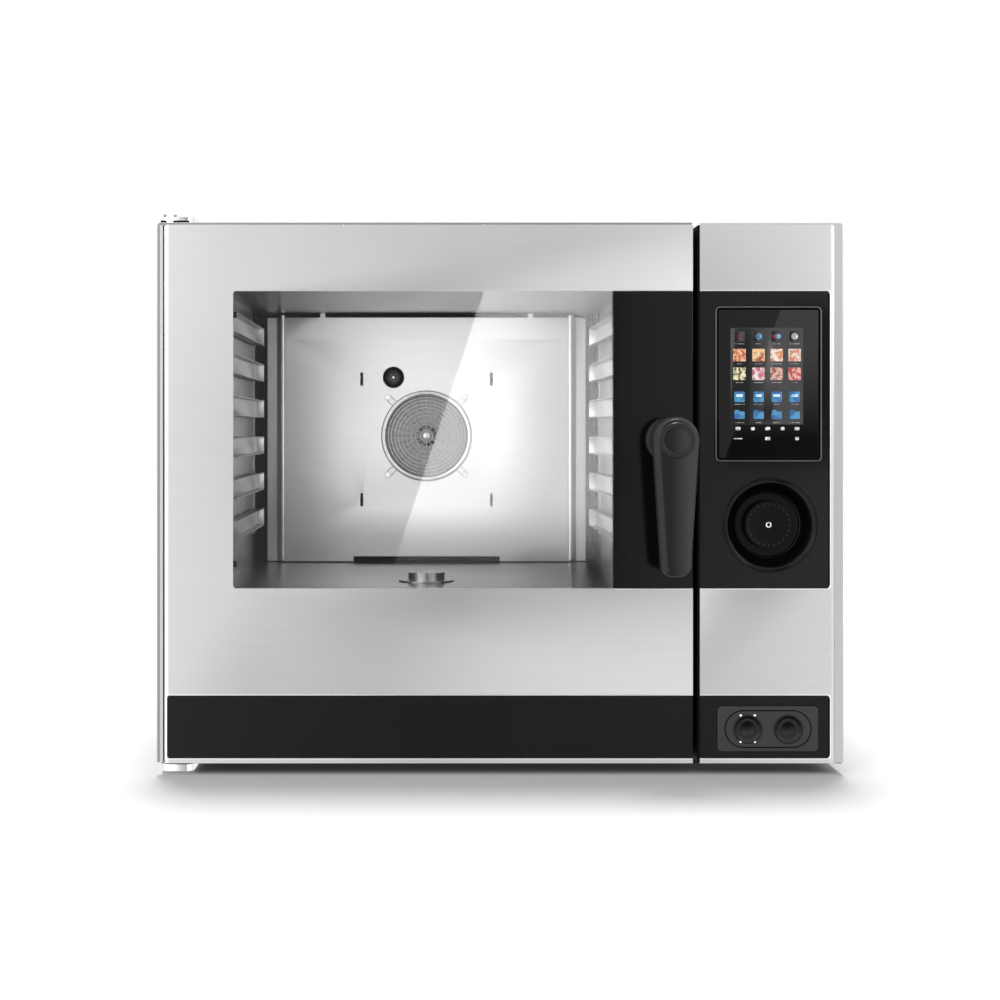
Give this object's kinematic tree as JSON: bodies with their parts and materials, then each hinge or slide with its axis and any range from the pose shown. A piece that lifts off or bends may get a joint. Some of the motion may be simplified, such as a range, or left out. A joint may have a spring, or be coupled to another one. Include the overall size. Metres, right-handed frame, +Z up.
{
  "type": "combi steamer oven",
  "caption": "Table-top combi steamer oven: side-hung glass door with lever handle, touch screen and dished turning knob on a steel control column, rail-hung tray space.",
  "frame": {"origin": "on the floor, under the middle of the whole outline", "axes": "+Z up, the door and controls face -Y, +X to the right seen from the front"},
  "size_m": [0.875, 0.755, 0.75],
  "materials": {
    "casing_steel": "horizontally brushed stainless steel, satin",
    "cavity_steel": "smooth stainless steel with a soft sheen",
    "hinge_chrome": "polished",
    "black_glass": "back-printed black glass, satin",
    "door_glass": "clear toughened glass",
    "screen_glass": "dark touch glass over a lit display",
    "handle_plastic": "fine-grained dark grey",
    "dark_plastic": "black moulded plastic",
    "encoder_steel": "turned steel",
    "motor_paint": "grey enamel",
    "circuit_board": "green solder mask",
    "valve_plastic": "white moulded plastic",
    "foot_rubber": "black rubber",
    "seal_rubber": "black silicone",
    "wool": "mineral wool blanket"
  },
  "bodies": {
    "cabinet": {"base_tray": "casing_steel", "side_panel_left": "casing_steel", "side_panel_right": "casing_steel", "top_panel": "casing_steel", "rear_panel": "casing_steel", "front_frame": "casing_steel", "feet": "foot_rubber", "screws": "hinge_chrome", "hinge_brackets": "hinge_chrome", "cavity_liner": "cavity_steel", "insulation": "wool", "door_gasket": "seal_rubber", "rack_studs": "cavity_steel", "drain_pipe": "cavity_steel", "vent_pipe": "cavity_steel", "fan_deflector": "cavity_steel", "suction_grille": "cavity_steel", "fan_motor": "motor_paint", "heating_element": "cavity_steel", "wash_nozzle": "cavity_steel", "steam_pipe": "cavity_steel", "control_fascia": "casing_steel", "control_panel": "black_glass", "lower_panel": "black_glass", "screen_bezel": "dark_plastic", "touch_screen": "screen_glass", "knob_dish": "dark_plastic", "encoder_body": "dark_plastic", "connector_surround": "dark_plastic", "probe_socket": "dark_plastic", "data_port": "dark_plastic", "control_board": "circuit_board", "power_board": "circuit_board", "cooling_fan_frame": "dark_plastic", "water_valves": "valve_plastic", "cable_gland": "dark_plastic", "latch_strike": "cavity_steel"},
    "door": {"door_skin": "casing_steel", "door_outer_glass": "door_glass", "handle_panel": "black_glass", "door_lower_strip": "black_glass", "hinge_bushes": "hinge_chrome", "door_inner_frame": "casing_steel", "door_inner_glass": "door_glass", "glass_clips": "seal_rubber", "latch_housing": "dark_plastic"},
    "handle": {"handle_lever": "handle_plastic", "handle_cap": "handle_plastic", "latch_spindle": "cavity_steel"},
    "encoder_shaft": {"encoder_shaft": "encoder_steel"},
    "knob": {"knob": "dark_plastic"},
    "fan_rotor": {"motor_shaft": "cavity_steel", "fan_wheel": "cavity_steel"},
    "cooling_rotor": {"cooling_fan_rotor": "dark_plastic"},
    "vent_flap": {"vent_flap": "cavity_steel"},
    "rack_left": {"rack_left": "cavity_steel"},
    "rack_right": {"rack_right": "cavity_steel"},
    "drain_cover": {"drain_cover": "cavity_steel"},
    "probe_cap": {"probe_cap": "dark_plastic"},
    "port_cap": {"port_cap": "dark_plastic"}
  },
  "joints": [
    {"name": "door_hinge", "type": "hinge", "parent": "cabinet", "child": "door", "pos_m": [-0.426, -0.2745, 0.36], "axis": [0, 0, -1], "range_deg": [0, 120]},
    {"name": "handle_turn", "type": "hinge", "parent": "door", "child": "handle", "pos_m": [0.2134, -0.34, 0.4295], "axis": [0, 1, 0], "range_deg": [-60, 60]},
    {"name": "knob_press", "type": "slide", "parent": "cabinet", "child": "encoder_shaft", "axis": [0, 1, 0], "range_m": [0, 0.0015], "stiffness_N_per_m": 1000, "springref_m": -0.001},
    {"name": "knob_turn", "type": "hinge", "parent": "encoder_shaft", "child": "knob", "pos_m": [0.344, -0.29, 0.32], "axis": [0, 1, 0], "continuous": true},
    {"name": "fan_spin", "type": "hinge", "parent": "cabinet", "child": "fan_rotor", "pos_m": [-0.09615, 0.19, 0.4327], "axis": [0, 1, 0], "continuous": true},
    {"name": "cooling_fan_spin", "type": "hinge", "parent": "cabinet", "child": "cooling_rotor", "pos_m": [0.344, 0.33, 0.3], "axis": [0, 1, 0], "continuous": true},
    {"name": "vent_flap_turn", "type": "hinge", "parent": "cabinet", "child": "vent_flap", "pos_m": [0.02385, 0.2025, 0.683], "axis": [1, 0, 0], "range_deg": [0, 90]},
    {"name": "rack_left_lift", "type": "slide", "parent": "cabinet", "child": "rack_left", "axis": [0, 0, 1], "range_m": [0, 0.012]},
    {"name": "rack_right_lift", "type": "slide", "parent": "cabinet", "child": "rack_right", "axis": [0, 0, 1], "range_m": [0, 0.012]},
    {"name": "drain_cover_lift", "type": "slide", "parent": "cabinet", "child": "drain_cover", "axis": [0, 0, 1], "range_m": [0, 0.03]},
    {"name": "probe_cap_pull", "type": "slide", "parent": "cabinet", "child": "probe_cap", "axis": [0, -1, 0], "range_m": [0, 0.025]},
    {"name": "port_cap_pull", "type": "slide", "parent": "cabinet", "child": "port_cap", "axis": [0, -1, 0], "range_m": [0, 0.025]}
  ]
}
